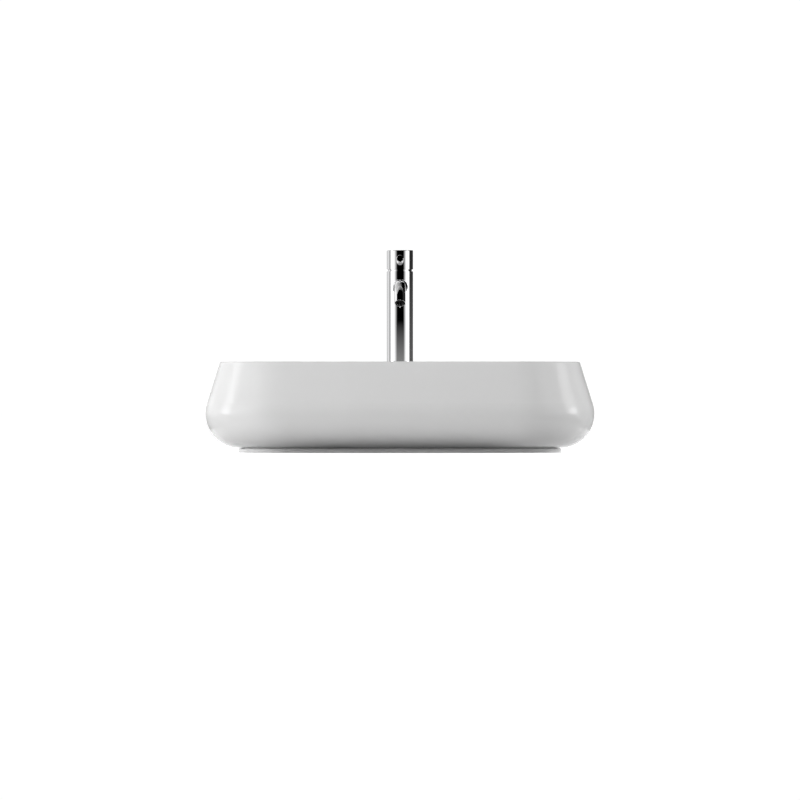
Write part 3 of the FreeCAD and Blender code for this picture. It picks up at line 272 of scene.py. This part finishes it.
def new_piece(name, shape, carrier, finish):
    """A piece of the scene's own, carried by the body of a CAD piece."""
    mesh = bpy.data.meshes.new(name)
    shape.to_mesh(mesh)
    shape.free()
    mesh.materials.append(finishes[finish])
    piece = bpy.data.objects.new(name, mesh)
    bpy.context.scene.collection.objects.link(piece)
    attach(piece, frame["nodes"][carrier]["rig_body"])


def aerator_rim():
    """The black lip of the aerator, a flat ring on the end of the spout's tube."""
    tilt = math.radians(SPOUT_TILT)
    outlet = Vector((0.0, -math.cos(tilt), -math.sin(tilt)))
    tube = [vertex.co for vertex in frame["nodes"]["spout_tube"].data.vertices]
    end = max(spot.dot(outlet) for spot in tube)
    mouth = [spot for spot in tube if spot.dot(outlet) > end - MOUTH_DEPTH]
    centre = sum(mouth, Vector()) / len(mouth)
    reach = [(spot - centre).length for spot in mouth]
    inner, outer = min(reach), max(reach) - RIM_EDGE
    section = ((inner, 0.0), (outer, 0.0), (outer, RIM_RISE), (inner, RIM_RISE))
    across = Vector((1.0, 0.0, 0.0))
    lip = bmesh.new()
    corners = [lip.verts.new(centre + across * radius + outlet * rise) for radius, rise in section]
    for index, corner in enumerate(corners):
        lip.edges.new((corner, corners[index - 1]))
    bmesh.ops.spin(lip, geom=lip.verts[:] + lip.edges[:], cent=centre, axis=outlet,
                   angle=math.radians(360.0), steps=RIM_STEPS, use_merge=True)
    bmesh.ops.recalc_face_normals(lip, faces=lip.faces)
    new_piece("aerator_rim", lip, "spout_tube", "black_plastic")


def flat_plane(name, width, height):
    """A plane for the floor or a card, which isn't part of the object."""
    plane = bmesh.new()
    bmesh.ops.create_grid(plane, x_segments=1, y_segments=1, size=0.5)
    bmesh.ops.scale(plane, vec=(width, height, 1.0), verts=plane.verts)
    mesh = bpy.data.meshes.new(name)
    plane.to_mesh(mesh)
    plane.free()
    piece = bpy.data.objects.new(name, mesh)
    bpy.context.scene.collection.objects.link(piece)
    return piece


def place_on_plane(tree):
    """Where a point lies across and along a plane."""
    spot = tree.nodes.new("ShaderNodeSeparateXYZ")
    tree.links.new(tree.nodes.new("ShaderNodeTexCoord").outputs["Object"], spot.inputs["Vector"])
    return spot.outputs["X"], spot.outputs["Y"]


def joined(tree, operation, first, second):
    """Two values joined by an operation; a sum stops at 1."""
    step = tree.nodes.new("ShaderNodeMath")
    step.operation = operation
    step.use_clamp = operation == "ADD"
    tree.links.new(first, step.inputs[0])
    tree.links.new(second, step.inputs[1])
    return step.outputs[0]


def distance(tree, place):
    """How far a place lies from a plane's middle line."""
    size = tree.nodes.new("ShaderNodeMath")
    size.operation = "ABSOLUTE"
    tree.links.new(place, size.inputs[0])
    return size.outputs[0]


def outline_term(tree, place, half_width):
    """The fourth power of a place's share of a half width; two of them add up to a rounded outline."""
    share = tree.nodes.new("ShaderNodeMath")
    share.operation = "DIVIDE"
    share.inputs[1].default_value = half_width
    tree.links.new(place, share.inputs[0])
    square = joined(tree, "MULTIPLY", share.outputs[0], share.outputs[0])
    return joined(tree, "MULTIPLY", square, square)


def seen_directly(tree):
    """1 for rays from the camera and for reflections, 0 for light that falls on things."""
    path = tree.nodes.new("ShaderNodeLightPath")
    reflected = joined(tree, "MAXIMUM", path.outputs["Is Glossy Ray"], path.outputs["Is Transmission Ray"])
    return joined(tree, "MAXIMUM", path.outputs["Is Camera Ray"], reflected)


def mix_by_sight(tree, unseen, seen, output):
    """Show one shader to the camera and to reflections, and another to light that falls on things."""
    mix = tree.nodes.new("ShaderNodeMixShader")
    tree.links.new(seen_directly(tree), mix.inputs["Fac"])
    tree.links.new(unseen, mix.inputs[1])
    tree.links.new(seen, mix.inputs[2])
    tree.links.new(mix.outputs["Shader"], tree.nodes[output].inputs["Surface"])


def add_floor():
    """A pale floor; what is seen of it is white, but for a painted shadow under the basin, which also
    darkens the light it bounces.
    """
    floor = flat_plane("floor", FLOOR_SIZE, FLOOR_SIZE)
    material, tree, shader = new_material("floor")
    shader.inputs["Base Color"].default_value = FLOOR_COLOUR
    shader.inputs["Roughness"].default_value = FLOOR_ROUGHNESS
    shader.inputs["Specular IOR Level"].default_value = 0.0
    x, y = place_on_plane(tree)
    basin = frame["nodes"]["basin"].data.vertices
    foot_reach = max(vertex.co.x for vertex in basin if vertex.co.z < FOOT_LEVEL)
    outwards = joined(tree, "ADD", outline_term(tree, x, foot_reach), outline_term(tree, y, cad_high.y))
    # Painted shadow: set by place alone, the floor's glow fades to dark under the basin.
    painted_shadow_span = (PAINTED_SHADOW_CORE, PAINTED_SHADOW_EDGE)
    glow = tree.nodes.new("ShaderNodeEmission")
    tree.links.new(ramp(tree, outwards, *painted_shadow_span, 0.0, 1.0), glow.inputs["Strength"])
    lit = tree.nodes.new("ShaderNodeAddShader")
    tree.links.new(shader.outputs["BSDF"], lit.inputs[0])
    tree.links.new(glow.outputs["Emission"], lit.inputs[1])
    # Painted shade: the bounced light is darker under the basin, however it is lit.
    bounce = tree.nodes.new("ShaderNodeBsdfDiffuse")
    tree.links.new(ramp(tree, outwards, *painted_shadow_span, 0.0, FLOOR_BOUNCE), bounce.inputs["Color"])
    mix_by_sight(tree, bounce.outputs["BSDF"], lit.outputs["Shader"], "Material Output")
    floor.data.materials.append(material)


def add_world():
    """A white studio, greyer overhead, so that the chrome has something to show from every side."""
    world = bpy.data.worlds.new("studio")
    world.use_nodes = True
    tree = world.node_tree
    light = tree.nodes["Background"]
    light.inputs["Color"].default_value = STUDIO_COLOUR
    light.inputs["Strength"].default_value = STUDIO_LIGHT
    seen = tree.nodes.new("ShaderNodeBackground")
    seen.inputs["Color"].default_value = STUDIO_COLOUR
    way = tree.nodes.new("ShaderNodeSeparateXYZ")
    tree.links.new(tree.nodes.new("ShaderNodeTexCoord").outputs["Generated"], way.inputs["Vector"])
    shade = ramp(tree, way.outputs["Z"], WHITE_SINE, GREY_SINE, STUDIO_WHITE, STUDIO_GREY)
    tree.links.new(shade, seen.inputs["Strength"])
    mix_by_sight(tree, light.outputs["Background"], seen.outputs["Background"], "World Output")
    bpy.context.scene.world = world


def add_softbox(name, azimuth, elevation, power):
    """A soft light aimed at the basin, which reflections don't show."""
    data = bpy.data.lights.new(name, "AREA")
    data.shape = "SQUARE"
    data.size = SOFTBOX_SIZE
    data.energy = power
    lamp = bpy.data.objects.new(name, data)
    side, rise = math.radians(azimuth), math.radians(elevation)
    outwards = Vector((math.sin(side) * math.cos(rise), -math.cos(side) * math.cos(rise), math.sin(rise)))
    lamp.location = SOFTBOX_AIM + SOFTBOX_DISTANCE * outwards
    lamp.rotation_euler = outwards.to_track_quat("Z", "Y").to_euler()
    lamp.visible_camera = False
    lamp.visible_glossy = False
    bpy.context.scene.collection.objects.link(lamp)


def add_card(name, place, tilt, heading, width, height, shade=BLACK, sides=None, foot=None):
    """A card that only reflections see, of one shade or graded.

    sides: two distances from its middle line, between which it goes from its shade to white.
    foot: two places along its height and the shades there, added to what the sides give.
    """
    card = flat_plane(name, width, height)
    card.location = place
    card.rotation_euler = (math.radians(tilt), 0.0, math.radians(heading))
    card.visible_camera = False
    card.visible_diffuse = False
    card.visible_shadow = False
    card.visible_transmission = False
    material, tree, _ = new_material(name)
    glow = tree.nodes.new("ShaderNodeEmission")
    glow.inputs["Strength"].default_value = shade
    x, y = place_on_plane(tree)
    levels = []
    if sides:
        levels.append(ramp(tree, distance(tree, x), *sides, shade, 1.0))
    if foot:
        levels.append(ramp(tree, y, *foot))
    if len(levels) == 2:
        levels = [joined(tree, "ADD", *levels)]
    if levels:
        tree.links.new(levels[0], glow.inputs["Strength"])
    tree.links.new(glow.outputs["Emission"], tree.nodes["Material Output"].inputs["Surface"])
    card.data.materials.append(material)


def add_side_card(name, azimuth, width, height, shade=BLACK, foot=None):
    """An upright card that stands on the floor and faces the tap."""
    side = math.radians(azimuth)
    x = TAP_CARD_DISTANCE * math.sin(side)
    y = tap_y - TAP_CARD_DISTANCE * math.cos(side)
    add_card(name, (x, y, height / 2.0), UPRIGHT, azimuth, width, height, shade, foot=foot)


def add_panel(name, place, width, height, shade):
    """A bright upright panel beside the basin, which the glaze of its corner shows as a soft highlight."""
    heading = math.copysign(90.0, place[0])
    fade = (PANEL_FADE_START * width, PANEL_FADE_END * width)
    add_card(name, place, UPRIGHT, heading, width, height, shade, sides=fade)


def add_tap_cards():
    """Dark cards in front of the tap, above it and on its right, and lighter ones on its left."""
    add_card("front_card", (0.066, tap_y - TAP_CARD_DISTANCE, ROOF_HEIGHT / 2.0), UPRIGHT, 0.0,
             width=2.5, height=ROOF_HEIGHT, sides=(0.534, 1.217), foot=(-0.533, -0.62, 0.0, 0.27))
    add_card("roof_card", (0.2, tap_y - 0.45, ROOF_HEIGHT), LYING, -90.0,
             width=1.9, height=3.5, sides=(0.55, 0.95))
    add_card("rear_roof_card", (0.35, tap_y + 1.2, ROOF_HEIGHT), LYING, -90.0,
             width=2.4, height=3.2, foot=(0.25, -1.35, 0.0, 0.6))
    add_card("left_high_card", (-1.3, 0.85, 0.9), UPRIGHT, -90.0, width=1.7, height=0.9, shade=1.0)
    add_card("right_high_card", (0.649, tap_y + 0.721, 1.44), UPRIGHT, 138.0, width=1.2, height=2.12)
    add_side_card("right_card", 121.0, width=1.28, height=2.5, foot=(-0.93, -1.09, 0.025, 0.098))
    add_side_card("left_card", -103.0, width=0.56, height=0.5, shade=0.48)
    add_side_card("left_rear_card", -152.0, width=0.8, height=0.5, shade=0.56)


def add_floor_cards():
    """Grey cards on the floor round the basin; the side ones lie over the other two."""
    left, right = cad_low.x - FLOOR_CARD_DISTANCE, cad_high.x + FLOOR_CARD_DISTANCE
    front, rear = cad_low.y - FLOOR_CARD_DISTANCE, cad_high.y + REAR_FLOOR_CARD_DISTANCE
    add_card("rear_floor_card", (0.0, rear, LOWER_FLOOR_CARD), LYING, 0.0,
             width=3.0, height=1.4, foot=(-0.65, 0.3, 0.75, 0.15))
    for name, x in (("left_floor_card", left), ("right_floor_card", right)):
        add_card(name, (x, 0.0, UPPER_FLOOR_CARD), LYING, 0.0, width=1.2, height=1.6, shade=FLOOR_CARD_GREY)
    add_card("front_floor_card", (0.0, front, LOWER_FLOOR_CARD), LYING, 0.0,
             width=1.6, height=1.1, foot=(0.5, 0.25, 0.6, 0.03))


for node_name in sorted(frame["nodes"]):
    dress(node_name)
aerator_rim()
add_camera()
add_floor()
add_world()
for softbox in SOFTBOXES:
    add_softbox(*softbox)
add_tap_cards()
for panel in PANELS:
    add_panel(*panel)
add_floor_cards()

bpy.context.scene.view_settings.view_transform = "Standard"
